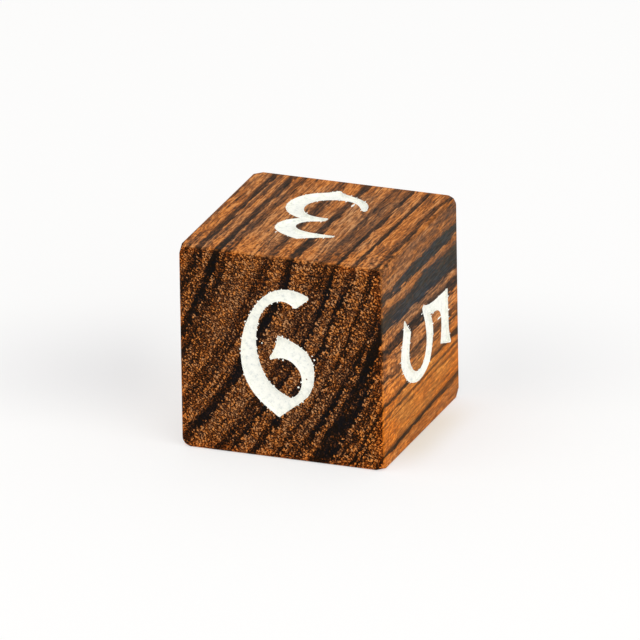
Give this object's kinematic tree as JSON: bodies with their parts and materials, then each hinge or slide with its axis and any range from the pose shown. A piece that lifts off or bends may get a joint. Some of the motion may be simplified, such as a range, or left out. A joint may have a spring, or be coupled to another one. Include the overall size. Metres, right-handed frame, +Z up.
{
  "type": "wooden die",
  "caption": "Solid hardwood cube with eased edges and a white-painted numeral carved into each face.",
  "frame": {"origin": "middle of the bottom face, which carries the four", "axes": "+Z up through the face with the three, -Y out of the face with the six, +X out of the face with the five; the wood's fibres run along Y"},
  "size_m": [0.016, 0.016, 0.016],
  "materials": {
    "hardwood": "satin, oiled; orange-brown with near-black stripes along Y, end grain on the Y faces",
    "paint": "matt white paint"
  },
  "bodies": {
    "root": {"wooden_cube": "hardwood", "numeral_one_paint": "paint", "numeral_two_paint": "paint", "numeral_three_paint": "paint", "numeral_four_paint": "paint", "numeral_five_paint": "paint", "numeral_six_paint": "paint"}
  },
  "joints": []
}
